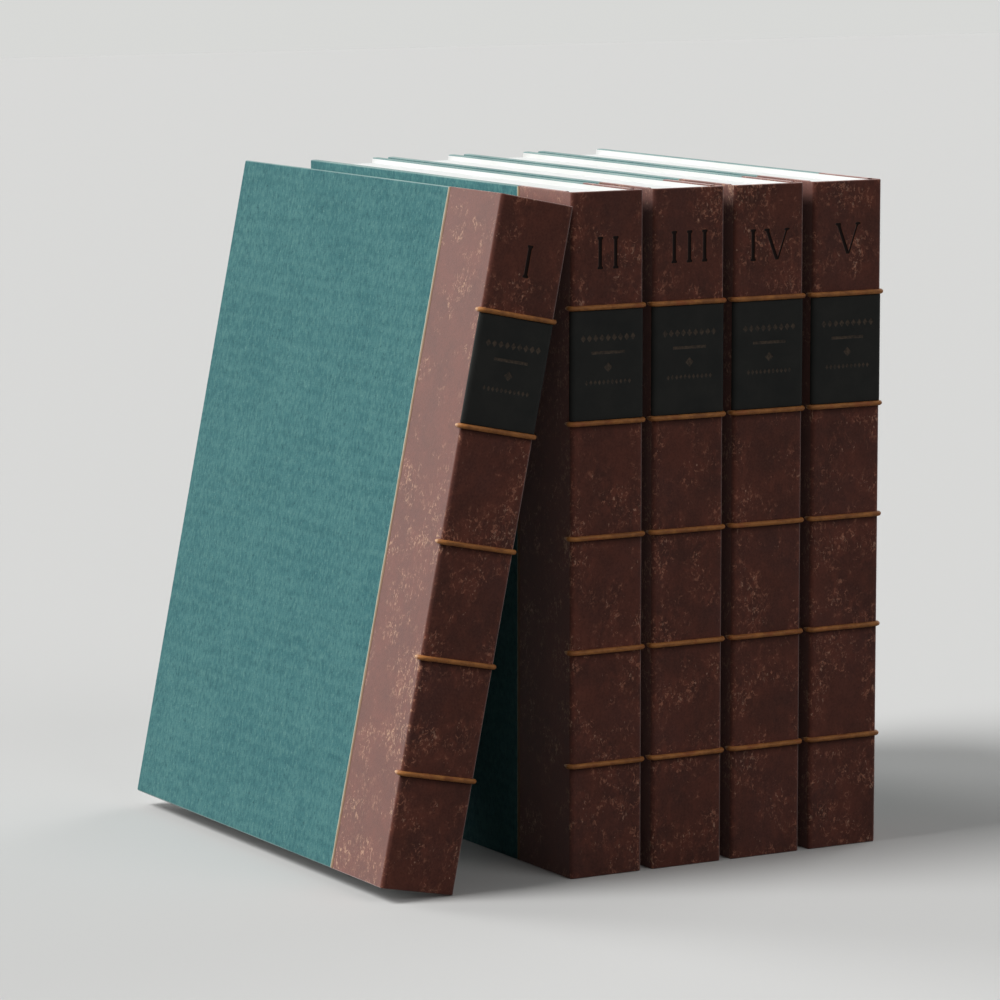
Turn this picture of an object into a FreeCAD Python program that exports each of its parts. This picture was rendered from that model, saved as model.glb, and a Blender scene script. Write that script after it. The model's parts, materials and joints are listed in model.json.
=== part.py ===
import FreeCAD, Part
import os
from math import asin, cos, degrees, sin

# Five volumes of one set stand in a row with their spines to the front (-Y). Volume 1 leans
# against the other four. Millimetres, +Z up, origin on the surface under the row's middle.
# A book is modelled upright with its spine face at y = 0, its back cover at x = 0 and its
# front cover at x = book_thickness, and is then put in its place in the row.

Vector = FreeCAD.Vector

# The book
book_height = 250.0
book_thickness = 30.0
book_depth = 202.0

# The covers: a board inside a skin of leather and cloth, lined with paper
skin = 0.4
board = 1.7
turn_in = 12.0
board_corner = 1.2
paper = 0.2
paper_margin = 0.5

# The leather back, its gilt edging and the line where the covers fold
leather_reach = 38.9
gilt_width = 1.1
gilt_depth = 0.2
spine_card = 1.2
spine_corner = 1.0
fold_back = 6.0
fold_gap = 0.15

# The pages: how far they stop short of the head and tail, the fore edge and the fold
head_square = 2.1
fore_square = 3.0
shoulder_gap = 0.4

# The raised bands across the spine
band_count = 5
band_rise = 1.45
band_width = 1.8
band_tip = 4.7
band_tip_rise = 0.12

# The title label between the two upper bands, and the plain marks pressed into it
label = 0.3
label_gap = 0.05
mark_depth = 0.12
mark_pitch = 5.35
mark_lift = 1.8
upper_count = 9
upper_lozenge = 2.6
lower_count = 11
lower_lozenge = 1.8
middle_lozenge = 3.4
lozenge_spacing = 0.6
rule_width = 14.0
rule_height = 1.0

# The volume number pressed into the spine
number_height = 11.2
number_depth = 0.25
number_rise = 19.5
number_lifts = {"III": 0.8, "V": 0.8}
stem = 1.3
stem_pitch = 6.5
serif = 2.1
serif_height = 0.45
vee_width = 8.7
vee_thin = 0.55
vee_side = 2.75

# The row
book_gap = 4.45
lean_foot = 49.9
lean_touch = 0.2
lean_forward = 1.93

# How far a cutting shape starts outside the face that it cuts, and how near counts as equal
overcut = 0.5
near = 1e-6

cover = skin + board + skin
board_start = fold_back + fold_gap
spine_inside = skin + spine_card
band_pitch = book_height / (band_count + 1)
number_base = band_count * band_pitch + number_rise - number_height / 2
numbers = ["I", "II", "III", "IV", "V"]
lean = asin((lean_foot - lean_touch) / book_height)


def box(x0, x1, y0, y1, z0, z1):
    """Block between two corners."""
    return Part.makeBox(x1 - x0, y1 - y0, z1 - z0, Vector(x0, y0, z0))


def side_box(side, d0, d1, y0, y1, z0, z1):
    """Block between two depths under the outer face of the back or the front cover."""
    if side == "back":
        return box(d0, d1, y0, y1, z0, z1)
    return box(book_thickness - d1, book_thickness - d0, y0, y1, z0, z1)


def rounded(shape, radius, wanted):
    """The shape with the edges whose middles pass the test rounded."""
    if radius < near:
        return shape
    return shape.makeFillet(radius, [edge for edge in shape.Edges if wanted(edge.CenterOfMass)])


def spine_block(inset, y1, z0, z1):
    """Block inset from the spine face and both sides, with its two front corners rounded."""
    block = box(inset, book_thickness - inset, inset, y1, z0, z1)
    middle = (z0 + z1) / 2
    return rounded(block, spine_corner - inset,
                   lambda c: abs(c.y - inset) < near and abs(c.z - middle) < near)


def cover_panel(side, d0, d1, y0, inset):
    """Panel inset from the cover's head, tail and fore edge, with its two far corners rounded."""
    fore = book_depth - inset
    panel = side_box(side, d0, d1, y0, fore, inset, book_height - inset)
    middle = panel.BoundBox.Center.x
    return rounded(panel, board_corner - inset,
                   lambda c: abs(c.y - fore) < near and abs(c.x - middle) < near)


def cover_skin(side, y0):
    """Leather and cloth round a board: outer face, three edges and the turned-in margins."""
    window = side_box(side, skin + board, cover, y0, book_depth - turn_in,
                      turn_in, book_height - turn_in)
    inside = cover_panel(side, skin, skin + board, y0, skin)
    return cover_panel(side, 0, cover, y0, 0).cut(inside).cut(window)


def gilt_line(side):
    """Flat strip let into the leather along its edge."""
    return side_box(side, 0, gilt_depth, leather_reach - gilt_width, leather_reach, 0, book_height)


def side_leather(side, y0):
    """The leather on one cover, from y0 back to its edge, with a seat for the gilt line."""
    ahead = side_box(side, 0, cover, y0, leather_reach, 0, book_height)
    return cover_skin(side, y0).common(ahead).cut(gilt_line(side))


def side_cloth(side):
    """The cloth on one cover, from the edge of the leather to the fore edge."""
    behind = side_box(side, 0, cover, leather_reach, book_depth, 0, book_height)
    return cover_skin(side, leather_reach).common(behind)


def cover_board(side):
    return cover_panel(side, skin, skin + board, board_start, skin)


def pastedown(side):
    """Paper lining of a board: the sheet, and the filling between the turned-in margins."""
    filling = side_box(side, skin + board, cover, board_start, book_depth - turn_in,
                       turn_in, book_height - turn_in)
    sheet = side_box(side, cover, cover + paper, board_start, book_depth - paper_margin,
                     paper_margin, book_height - paper_margin)
    return filling.fuse(sheet)


def pages():
    """All the leaves as one block, wider at the spine where its shoulders meet the boards."""
    inner = cover + paper
    top = book_height - head_square
    leaves = box(inner, book_thickness - inner, spine_inside, book_depth - fore_square,
                 head_square, top)
    shoulders = box(skin, book_thickness - skin, spine_inside, fold_back - shoulder_gap,
                    head_square, top)
    return leaves.fuse(shoulders).removeSplitter()


def spine_stiffener():
    return spine_block(skin, spine_inside, skin, book_height - skin)


def spine_wrap():
    """Leather round the spine as far as the folds, turned in over the card at head and tail."""
    wrap = spine_block(0, fold_back, 0, book_height)
    wrap = wrap.cut(spine_block(skin, fold_back, head_square, book_height - head_square))
    for z0, z1 in ((0, head_square), (book_height - head_square, book_height)):
        wrap = wrap.cut(box(2 * skin, book_thickness - 2 * skin, spine_inside + skin, fold_back,
                            z0, z1))
    return wrap.cut(spine_stiffener())


def pressed(points, face, depth):
    """Cutter that presses a polygon of (x, z) points into a face at y = face."""
    corners = [Vector(x, face - overcut, z) for x, z in points]
    outline = Part.makePolygon(corners + corners[:1])
    return Part.Face(outline).extrude(Vector(0, overcut + depth, 0))


def bar(x, z, width, height):
    """Upright rectangle about x that stands on z."""
    return [(x - width / 2, z), (x + width / 2, z), (x + width / 2, z + height),
            (x - width / 2, z + height)]


def slope(x_low, x_high, width):
    """Sloping stroke over the full height of a number."""
    top = number_base + number_height
    return [(x_low, number_base), (x_low + width, number_base), (x_high + width, top),
            (x_high, top)]


def letter_strokes(letter, x):
    """Outlines of one letter of the number whose left side is at x, and the letter's width."""
    top = number_base + number_height - serif_height
    if letter == "I":
        x += stem_pitch / 2
        return [bar(x, number_base, stem, number_height),
                bar(x, number_base, serif, serif_height), bar(x, top, serif, serif_height)]
    left = x + vee_side
    right = left + vee_width
    point = (left + right) / 2
    return [slope(point - stem / 2, left - stem / 2, stem),
            slope(point + stem / 2 - vee_thin, right - vee_thin / 2, vee_thin),
            bar(left, top, serif, serif_height), bar(right, top, serif, serif_height)]


def number_cutter(number):
    """The volume number, centred on the spine."""
    widths = {"I": stem_pitch, "V": vee_width + 2 * vee_side}
    x = (book_thickness - sum(widths[letter] for letter in number)) / 2
    strokes = []
    for letter in number:
        strokes += letter_strokes(letter, x)
        x += widths[letter]
    cutters = [pressed(points, 0, number_depth) for points in strokes]
    lift = Vector(0, 0, number_lifts.get(number, 0))
    return cutters[0].multiFuse(cutters[1:]).translated(lift)


def lozenge(x, z, width, height):
    return [(x - width / 2, z), (x, z - height / 2), (x + width / 2, z), (x, z + height / 2)]


def lozenge_row(x, z, count, size):
    """Row of upright lozenges about x, one size high, a little less wide and a size apart."""
    first = x - (count - 1) * size / 2
    return [lozenge(first + k * size, z, size - lozenge_spacing, size) for k in range(count)]


def title_label():
    """Thin leather label round the spine between the two upper bands, with a plain design."""
    clear = band_width / 2 + label_gap
    z0 = (band_count - 1) * band_pitch + clear
    z1 = band_count * band_pitch - clear
    shape = spine_block(-label, 2 * spine_corner, z0, z1)
    shape = shape.cut(spine_block(0, 2 * spine_corner, z0, z1))
    shape = shape.cut(box(-label, book_thickness + label, spine_corner, 2 * spine_corner, z0, z1))
    x = book_thickness / 2
    z = (z0 + z1) / 2 + mark_lift
    marks = lozenge_row(x, z + 1.5 * mark_pitch, upper_count, upper_lozenge)
    marks.append(bar(x, z + 0.5 * mark_pitch - rule_height / 2, rule_width, rule_height))
    marks.append(lozenge(x, z - 0.5 * mark_pitch, middle_lozenge, middle_lozenge))
    marks += lozenge_row(x, z - 1.5 * mark_pitch, lower_count, lower_lozenge)
    return shape.cut([pressed(mark, -label, mark_depth) for mark in marks])


def band_section(z, size):
    """Section of a raised band at the spine's left corner: straight flanks and a round crown.
    size is the share of the full band."""
    x = spine_corner
    half = size * band_width / 2
    rise = size * band_rise
    flank = rise - half
    low, low_turn = Vector(x, 0, z - half), Vector(x, -flank, z - half)
    high, high_turn = Vector(x, 0, z + half), Vector(x, -flank, z + half)
    crown = Part.Arc(low_turn, Vector(x, -rise, z), high_turn).toShape()
    return Part.Wire([Part.makeLine(low, low_turn), crown, Part.makeLine(high_turn, high),
                      Part.makeLine(high, low)])


def raised_band(z):
    """Cord across the spine and round both corners, with a tapered tip on each side."""
    up = Vector(0, 0, 1)
    left_corner = Vector(spine_corner, spine_corner, z)
    right_corner = Vector(book_thickness - spine_corner, spine_corner, z)
    section = Part.Face(band_section(z, 1))
    across = Vector(book_thickness - 2 * spine_corner, 0, 0)
    pieces = [section.revolve(left_corner, up, -90),
              section.translated(across).revolve(right_corner, up, 90)]
    for corner, quarter, offset in ((left_corner, -90, 0), (right_corner, 90, across.x)):
        wires = []
        for size, back in ((1, 0), (band_tip_rise / band_rise, band_tip - spine_corner)):
            wire = band_section(z, size)
            wire.translate(Vector(offset, 0, 0))
            wire.rotate(corner, up, quarter)
            wire.translate(Vector(0, back, 0))
            wires.append(wire)
        pieces.append(Part.makeLoft(wires, True, True))
    return section.extrude(across).multiFuse(pieces).removeSplitter()


def raised_bands():
    return Part.makeCompound([raised_band(k * band_pitch) for k in range(1, band_count + 1)])


def opening_cut(side):
    """What is left out of the leather at the fold of a cover that can open."""
    return side_box(side, 0, 2 * skin, fold_back - fold_gap, fold_back, 0, book_height)


def make_book(number, opening):
    """The pieces of one book: those that stay, and those of the cover that can open."""
    leather = spine_wrap().cut(number_cutter(number))
    still = {}
    moving = {}
    for side in ("back", "front"):
        pieces = {"board": cover_board(side), "cloth": side_cloth(side),
                  "gilt_line": gilt_line(side), "pastedown": pastedown(side)}
        if side == opening:
            leather = leather.cut(opening_cut(side))
            pieces["leather"] = side_leather(side, board_start)
        else:
            leather = leather.fuse(side_leather(side, fold_back))
        target = moving if side == opening else still
        for name, shape in pieces.items():
            target[side + "_" + name] = shape
    if opening is None:
        for name in ("board", "gilt_line", "pastedown"):
            pair = [still.pop(side + "_" + name) for side in ("back", "front")]
            still[name + "s"] = Part.makeCompound(pair)
    still["leather"] = leather.removeSplitter()
    still["spine_card"] = spine_stiffener()
    still["pages"] = pages()
    still["raised_bands"] = raised_bands()
    still["title_label"] = title_label()
    return still, moving


# The row's place: its middle in x and y comes to the origin
row_left = -lean_foot - book_thickness * cos(lean)
row_right = 3 * (book_thickness + book_gap) + book_thickness + band_rise
row_front = -lean_forward - band_rise
shift = Vector(-(row_left + row_right) / 2, -(row_front + book_depth) / 2, 0)


def book_place(index):
    """Placement of a book: the first leans on its lower front-cover edge, the others stand."""
    if index > 0:
        return FreeCAD.Placement(shift + Vector((index - 1) * (book_thickness + book_gap), 0, 0),
                                 FreeCAD.Rotation())
    foot = shift + Vector(-lean_foot, -lean_forward, 0)
    turn = FreeCAD.Rotation(Vector(0, 1, 0), degrees(lean))
    return FreeCAD.Placement(foot - turn.multVec(Vector(book_thickness, 0, 0)), turn)


os.makedirs("parts", exist_ok=True)
openings = {0: "back", len(numbers) - 1: "front"}
for index, number in enumerate(numbers):
    place = book_place(index)
    opening = openings.get(index)
    still, moving = make_book(number, opening)
    for name, shape in list(still.items()) + list(moving.items()):
        shape.Placement = place
        shape.exportStep("parts/book_" + str(index + 1) + "_" + name + ".step")
    print("book", index + 1, "still:", sorted(still), "moving:", sorted(moving))
    if opening:
        x = 0 if opening == "back" else book_thickness
        turn = 1 if opening == "back" else -1
        print("  fold at", place.multVec(Vector(x, fold_back, book_height / 2)),
              "axis", place.Rotation.multVec(Vector(0, 0, turn)))
print("base face at", book_place(2).multVec(Vector(book_thickness / 2, skin + spine_card / 2, 0)))
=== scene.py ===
import json

import bmesh
import bpy
import numpy as np
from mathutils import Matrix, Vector


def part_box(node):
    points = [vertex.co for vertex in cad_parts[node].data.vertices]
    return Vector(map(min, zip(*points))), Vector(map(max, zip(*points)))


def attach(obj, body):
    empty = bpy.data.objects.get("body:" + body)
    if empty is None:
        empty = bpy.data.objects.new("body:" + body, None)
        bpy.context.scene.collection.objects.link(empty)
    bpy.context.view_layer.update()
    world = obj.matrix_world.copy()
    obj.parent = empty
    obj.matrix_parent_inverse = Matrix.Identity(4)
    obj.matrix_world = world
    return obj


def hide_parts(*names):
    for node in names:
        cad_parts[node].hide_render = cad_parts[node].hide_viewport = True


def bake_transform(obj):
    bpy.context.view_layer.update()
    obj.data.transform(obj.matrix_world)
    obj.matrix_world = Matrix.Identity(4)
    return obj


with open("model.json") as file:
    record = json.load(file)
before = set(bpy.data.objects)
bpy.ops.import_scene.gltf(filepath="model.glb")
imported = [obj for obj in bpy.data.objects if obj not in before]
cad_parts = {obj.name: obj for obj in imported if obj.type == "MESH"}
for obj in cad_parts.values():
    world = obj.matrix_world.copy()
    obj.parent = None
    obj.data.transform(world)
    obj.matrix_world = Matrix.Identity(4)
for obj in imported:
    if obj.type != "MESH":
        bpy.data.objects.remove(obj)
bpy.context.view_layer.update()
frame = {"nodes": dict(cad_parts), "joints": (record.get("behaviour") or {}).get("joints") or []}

mm = 0.001

# The row
# Five matching volumes. Four stand upright with small gaps between them, and the first leans
# against the second. Each is worked out upright, with its spine face at y = 0, its back cover at
# x = 0, its front cover at x = thickness and its tail at z = 0, and is then put in its place.


def corners(node):
    """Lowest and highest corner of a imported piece."""
    low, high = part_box(node)
    return np.array(low), np.array(high)


volumes = [1, 2, 3, 4, 5]
merge_distance = 0.002 * mm
touch = 0.001 * mm
stand = {volume: corners(f"book_{volume}_leather")[0] for volume in volumes[1:]}
thickness, leather_reach, height = corners("book_2_leather")[1] - stand[2]
depth = corners("book_2_back_cloth")[1][1] - stand[2][1]
hinges = {joint["child"]: joint for joint in frame["joints"]}
fold = hinges["cover_5"]["pos_m"][1] - stand[5][1]


def place_of(volume):
    """Where a volume's origin lies, and the directions of its thickness, depth and height."""
    if volume > 1:
        return stand[volume], np.eye(3)
    up = np.array(hinges["cover_1"]["axis"], float)
    along = np.array([0.0, 1.0, 0.0])
    origin = np.array(hinges["cover_1"]["pos_m"]) - fold * along - height / 2 * up
    return origin, np.array([np.cross(along, up), along, up])


def in_row(volume, points):
    """Points of a volume brought to its place in the row."""
    origin, directions = place_of(volume)
    return origin + np.asarray(points) @ directions


def grid_faces(rows, columns, first):
    """Quads between neighbouring rows and columns of a grid of points numbered row by row."""
    index = first + np.arange(rows * columns).reshape(rows, columns)
    around = index[:-1, :-1], index[:-1, 1:], index[1:, 1:], index[1:, :-1]
    return np.stack(around, axis=-1).reshape(-1, 4)


def bind(name, volume, grids, finish, replaced, marks=None, crease=35):
    """Makes one piece of a volume from grids of points (rows, columns, 3) in the upright volume.
    Points that meet are merged, the faces are turned outwards, and each point keeps its place in
    the upright volume as the attribute spot. marks gives more attributes, each a function of
    those places. An edge stays sharp past the crease angle, in degrees."""
    faces = []
    first = 0
    for grid in grids:
        faces.append(grid_faces(grid.shape[0], grid.shape[1], first))
        first += grid.shape[0] * grid.shape[1]
    points = np.concatenate([grid.reshape(-1, 3) for grid in grids])
    mesh = bpy.data.meshes.new(name)
    mesh.from_pydata(points.tolist(), [], np.concatenate(faces).tolist())
    shell = bmesh.new()
    shell.from_mesh(mesh)
    bmesh.ops.remove_doubles(shell, verts=shell.verts, dist=merge_distance)
    bmesh.ops.dissolve_degenerate(shell, edges=shell.edges, dist=touch)
    bmesh.ops.recalc_face_normals(shell, faces=shell.faces)
    shell.to_mesh(mesh)
    shell.free()
    spots = np.zeros(len(mesh.vertices) * 3, np.float32)
    mesh.vertices.foreach_get("co", spots)
    mesh.attributes.new("spot", "FLOAT_VECTOR", "POINT").data.foreach_set("vector", spots)
    spots = spots.reshape(-1, 3).astype(float)
    values = {"volume": lambda spots: np.full(len(spots), volume), **(marks or {})}
    for mark, value in values.items():
        attribute = mesh.attributes.new(mark, "FLOAT", "POINT")
        attribute.data.foreach_set("value", value(spots).astype(np.float32))
    mesh.vertices.foreach_set("co", in_row(volume, spots).astype(np.float32).ravel())
    mesh.polygons.foreach_set("use_smooth", np.ones(len(mesh.polygons), bool))
    mesh.set_sharp_from_angle(angle=np.radians(crease))
    mesh.materials.append(finish)
    mesh.update()
    piece = bpy.data.objects.new(name, mesh)
    bpy.context.scene.collection.objects.link(piece)
    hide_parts(*replaced)
    return piece


def smooth(t):
    """Eases t from 0 to 1 with no kink at either end: three t squared less two t cubed."""
    t = np.clip(t, 0, 1)
    return t * t * (3 - 2 * t)


def srgb(red, green, blue):
    """Linear colour of an sRGB colour given from 0 to 255."""
    parts = np.array([red, green, blue]) / 255
    linear = np.where(parts < 0.04045, parts / 12.92, ((parts + 0.055) / 1.055) ** 2.4)
    return (*linear, 1.0)


class Finish:
    """A material in the making. Each method adds one node and gives back its output."""

    def __init__(self, name, place="spot"):
        self.material = bpy.data.materials.new(name)
        self.material.use_nodes = True
        self.tree = self.material.node_tree
        self.tree.nodes.clear()
        if place == "spot":
            self.place = self.mark("spot", "Vector")
            self.volume = self.mark("volume", "Fac")
        else:
            self.place = self.add("TexCoord", {}, "Object")
            self.volume = 0.0

    def add(self, kind, inputs, output=0, **settings):
        """One shader node with its settings; an input that is a socket is linked."""
        node = self.tree.nodes.new("ShaderNode" + kind)
        for name, value in settings.items():
            setattr(node, name, value)
        for key, value in inputs.items():
            if isinstance(value, bpy.types.NodeSocket):
                self.tree.links.new(value, node.inputs[key])
            else:
                node.inputs[key].default_value = value
        return node.outputs[output]

    def mark(self, name, output):
        """A mesh attribute, from the output Vector or Fac."""
        return self.add("Attribute", {}, output, attribute_name=name)

    def axis(self, letter):
        """One coordinate of the place that the material reads."""
        return self.add("SeparateXYZ", {0: self.place}, letter)

    def noise(self, size, detail=3.0, roughness=0.55, stretch=(1, 1, 1), seed=0.0, distortion=0.0):
        """Cloudy pattern with features of about that size in metres, drawn out by stretch, and
        different in each volume."""
        scaled = self.add("VectorMath", {0: self.place, 1: [1 / (size * s) for s in stretch]},
                          operation="MULTIPLY")
        turn = self.maths("MULTIPLY_ADD", self.volume, 7.3, seed)
        return self.add("TexNoise", {"Vector": scaled, "W": turn, "Scale": 1.0, "Detail": detail,
                                     "Roughness": roughness, "Distortion": distortion},
                        "Fac", noise_dimensions="4D")

    def maths(self, operation, a, b=0.0, c=0.0):
        """One step of arithmetic on numbers or sockets."""
        return self.add("Math", {0: a, 1: b, 2: c}, operation=operation)

    def ramp(self, value, low, high, start=0.0, end=1.0):
        """Straightens value between low and high onto start to end, and holds it outside."""
        return self.add("MapRange", {"Value": value, "From Min": low, "From Max": high,
                                     "To Min": start, "To Max": end})

    def mix(self, amount, under, over):
        """The colour over laid on the colour under by an amount from 0 to 1."""
        node = self.tree.nodes.new("ShaderNodeMix")
        node.data_type = "RGBA"
        for socket, value in ((node.inputs[0], amount), (node.inputs[6], under),
                              (node.inputs[7], over)):
            if isinstance(value, bpy.types.NodeSocket):
                self.tree.links.new(value, socket)
            else:
                socket.default_value = value
        return node.outputs[2]

    def relief(self, value, depth, under=None):
        """Bump of that depth in metres over any bump below it."""
        inputs = {"Height": value, "Distance": depth, "Strength": 1.0}
        if under is not None:
            inputs["Normal"] = under
        return self.add("Bump", inputs, "Normal")

    def done(self, colour, roughness, normal=None, **constants):
        """Closes the material with a principled shader whose other values are constants."""
        inputs = {"Base Color": colour, "Roughness": roughness}
        inputs.update({name.replace("_", " "): value for name, value in constants.items()})
        if normal is not None:
            inputs["Normal"] = normal
        shader = self.add("BsdfPrincipled", inputs, "BSDF")
        output = self.tree.nodes.new("ShaderNodeOutputMaterial")
        self.tree.links.new(shader, output.inputs["Surface"])
        return self.material


# The pages
# The leaves of a volume: white paper in sewn gatherings, pressed, glued and backed, so that the
# block flares into a shoulder on each side of the spine. Cut edges stay faintly uneven.

block_low, block_high = [corner - stand[2] for corner in corners("book_2_pages")]
cover_and_paper = stand[5][0] + thickness - corners("book_5_front_pastedown")[0][0]
gathering = 8
leaf_columns = 15 * gathering + 1
leaf_stations = 12
leaf_rows = 28
joint_stations = 9
joint_margin = 0.4 * mm
leaf_start = 8 * mm
shoulder_start = 3.6 * mm
shoulder_end = 5.5 * mm
leaf_unevenness = 0.035 * mm
gathering_fall = 0.09 * mm


def page_paper():
    """White paper, with fine lines along the leaves where their cut edges show, so not on the
    faces of the outer leaves, which look along x."""
    paper = Finish("page_paper")
    facing = paper.add("SeparateXYZ", {0: paper.add("NewGeometry", {}, "Normal")}, "X")
    lines = paper.noise(0.16 * mm, 2.0, 0.6, (1, 60, 60), 2.0)
    lines = paper.maths("MULTIPLY", lines,
                        paper.ramp(paper.maths("ABSOLUTE", facing), 0.6, 0.8, 1, 0))
    shade = paper.noise(9 * mm, 3.0, 0.5, (0.25, 3, 3), 5.0)
    colour = paper.mix(paper.ramp(shade, 0.35, 0.65), srgb(236, 238, 237), srgb(231, 233, 231))
    colour = paper.mix(paper.ramp(lines, 0.5, 0.75, 0, 0.4), colour, srgb(216, 214, 208))
    return paper.done(colour, 0.85, paper.relief(lines, 0.05 * mm), Specular_IOR_Level=0.1)


def page_block(volume):
    """The six faces of a lattice of points. Its columns run across the leaves: each leaf's head,
    tail and fore edge lie a little in or out, and each gathering falls away at its two sides, by
    the fourth power of the way from its middle.
    The width is that between the linings, and eases out to the shoulders near the spine."""
    rng = np.random.default_rng(40 + volume)
    share = np.linspace(0, 1, leaf_columns)
    within = (np.arange(leaf_columns) % gathering) / gathering * 2 - 1
    fall = gathering_fall * within**4
    head, tail, fore = (fall + leaf_unevenness * rng.random(leaf_columns) for _ in range(3))
    spine_part = np.linspace(block_low[1], shoulder_end + joint_margin, joint_stations)
    y = np.concatenate([spine_part, np.linspace(leaf_start, block_high[1], leaf_stations)])
    along = (y - y[0]) / (y[-1] - y[0])
    rise = np.linspace(0, 1, leaf_rows)
    full = thickness / 2 - block_low[0]
    narrow = thickness / 2 - cover_and_paper
    half = full + (narrow - full) * smooth((y - shoulder_start) / (shoulder_end - shoulder_start))

    def point(i, j, k):
        """Lattice point of leaf i, station j from spine to fore edge, row k from tail to head."""
        i, j, k = np.broadcast_arrays(i, j, k)
        bottom = block_low[2] + tail[i]
        top = block_high[2] - head[i]
        return np.stack([thickness / 2 + (2 * share[i] - 1) * half[j],
                         block_low[1] + along[j] * (block_high[1] - fore[i] - block_low[1]),
                         bottom + rise[k] * (top - bottom)], axis=-1)

    leaves = np.arange(leaf_columns)
    stations = np.arange(len(y))
    rows = np.arange(leaf_rows)
    grids = []
    for end in (0, -1):
        grids.append(point(leaves[:, None], stations[None, :], rows[end]))
        grids.append(point(leaves[:, None], stations[end], rows[None, :]))
        grids.append(point(leaves[end], stations[:, None], rows[None, :]))
    return grids


paper = page_paper()
for volume in volumes:
    block = bind(f"leaves_{volume}", volume, page_block(volume), paper,
                 [f"book_{volume}_pages"])
    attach(block, "row")

# The boards and the card in the spine
# Grey pressed board inside each cover, and a strip of card that stiffens the spine. The skins
# hide them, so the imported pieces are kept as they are, in the fibrous grey of such board.


def pressed_board(name, colour, fleck):
    """Matt board or card with short, paler fibres."""
    board = Finish(name, "object")
    fibres = board.noise(1.4 * mm, 4.0, 0.7, (1, 3, 1))
    shade = board.mix(board.ramp(fibres, 0.4, 0.7), srgb(*colour), srgb(*fleck))
    return board.done(shade, 0.9, board.relief(fibres, 0.05 * mm), Specular_IOR_Level=0.2)


def refinish(node, finish):
    """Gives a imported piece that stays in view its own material."""
    slots = frame["nodes"][node].data.materials
    slots.clear()
    slots.append(finish)


millboard = pressed_board("millboard", (126, 116, 100), (150, 140, 122))
card = pressed_board("spine_card", (150, 138, 116), (172, 160, 138))
for node in frame["nodes"]:
    if "board" in node:
        refinish(node, millboard)
    if node.endswith("spine_card"):
        refinish(node, card)

# The leather back
# Thin brown calf, pasted round the spine and onto both boards, and turned in at head and tail.
# It is scuffed at the corners and freckled all over. The volume's number is pressed into it.

skin = 0.4 * mm
cover = corners("book_5_front_cloth")[1][0] - corners("book_5_front_cloth")[0][0]
spine_wall = block_low[1] + skin
hinge_wall = 2 * skin
board_start = fold + 0.15 * mm
turn_in = 12 * mm
spine_turn_in = block_low[2]
edge_radius = 0.55 * mm
spine_corner = 1.5 * mm
split = 1.6 * mm
sag_depth = 0.03 * mm
sag_ease = 4 * mm
hair = 0.01 * mm
side_step = 2.6 * mm
bend_before = 1.2 * mm
bend_after = 2 * mm
bend_step = 0.16 * mm
corner_step = 0.7 * mm
spine_step = 1.6 * mm
end_zone = 3 * mm
end_step = 0.8 * mm
below_number_step = 4.2 * mm
above_number_step = 3 * mm
flap_step = 3.5 * mm
# Where the painted shade under each band begins and where it is full, as distances below the middle
# of the band above.
band_shade_start = 3.4 * mm
band_shade_end = 0.9 * mm
band_count = 5
band_pitch = height / (band_count + 1)

number_height = 11.2 * mm
number_above_band = 19.5 * mm
number_base = band_count * band_pitch + number_above_band - number_height / 2
number_lifts = {3: 0.8 * mm, 5: 0.8 * mm}
number_depth = 0.25 * mm
number_clearance = 1.2 * mm
number_step = 0.22 * mm
stem = 1.3 * mm
stem_pitch = 6.5 * mm
serif = 2.1 * mm
serif_height = 0.45 * mm
serif_bracket = 0.7 * mm
vee_width = 8.7 * mm
vee_thin = 0.55 * mm
vee_side = 2.75 * mm
letter_width = {"I": stem_pitch, "V": vee_width + 2 * vee_side}
numbers = dict(zip(volumes, ["I", "II", "III", "IV", "V"]))
far = 2 * mm


def beyond(outline, x, z):
    """How far (x, z) lies outside a convex outline of anticlockwise points, or, as a negative
    distance, inside it: the largest distance beyond any of its sides."""
    points = np.array(outline)
    distance = np.full(np.shape(x), -np.inf)
    for (x0, z0), (x1, z1) in zip(points, np.roll(points, -1, axis=0)):
        side = ((z1 - z0) * (x - x0) - (x1 - x0) * (z - z0)) / np.hypot(x1 - x0, z1 - z0)
        distance = np.maximum(distance, side)
    return distance


def bar(x, z, width, rise):
    """Upright rectangle about x that stands on z."""
    return [(x - width / 2, z), (x + width / 2, z), (x + width / 2, z + rise),
            (x - width / 2, z + rise)]


def sloping(x_low, x_high, width):
    """Sloping stroke over the full height of a number."""
    top = number_base + number_height
    return [(x_low, number_base), (x_low + width, number_base), (x_high + width, top),
            (x_high, top)]


def bracketed(a, b):
    """Union of two distances with the hollow between them filled by a curve: the smaller one,
    less the square of how nearly they are equal."""
    near = np.maximum(serif_bracket - abs(a - b), 0)
    return np.minimum(a, b) - near * near / (4 * serif_bracket)


def letter(name, left, x, z):
    """Distance from the strokes of one letter whose left side is given."""
    top = number_base + number_height - serif_height
    if name == "I":
        middle = left + stem_pitch / 2
        stroke = beyond(bar(middle, number_base, stem, number_height), x, z)
        feet = [beyond(bar(middle, foot, serif, serif_height), x, z) for foot in (number_base, top)]
        return bracketed(bracketed(stroke, feet[0]), feet[1])
    first = left + vee_side
    last = first + vee_width
    point = (first + last) / 2
    thick = beyond(sloping(point - stem / 2, first - stem / 2, stem), x, z)
    thin = beyond(sloping(point + stem / 2 - vee_thin, last - vee_thin / 2, vee_thin), x, z)
    thick = bracketed(thick, beyond(bar(first, top, serif, serif_height), x, z))
    thin = bracketed(thin, beyond(bar(last, top, serif, serif_height), x, z))
    return np.minimum(thick, thin)


def number_span(volume):
    """Where a volume's number starts and ends across the spine, with its middle on the spine's."""
    width = sum(letter_width[name] for name in numbers[volume])
    return thickness / 2 - width / 2, thickness / 2 + width / 2


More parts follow.
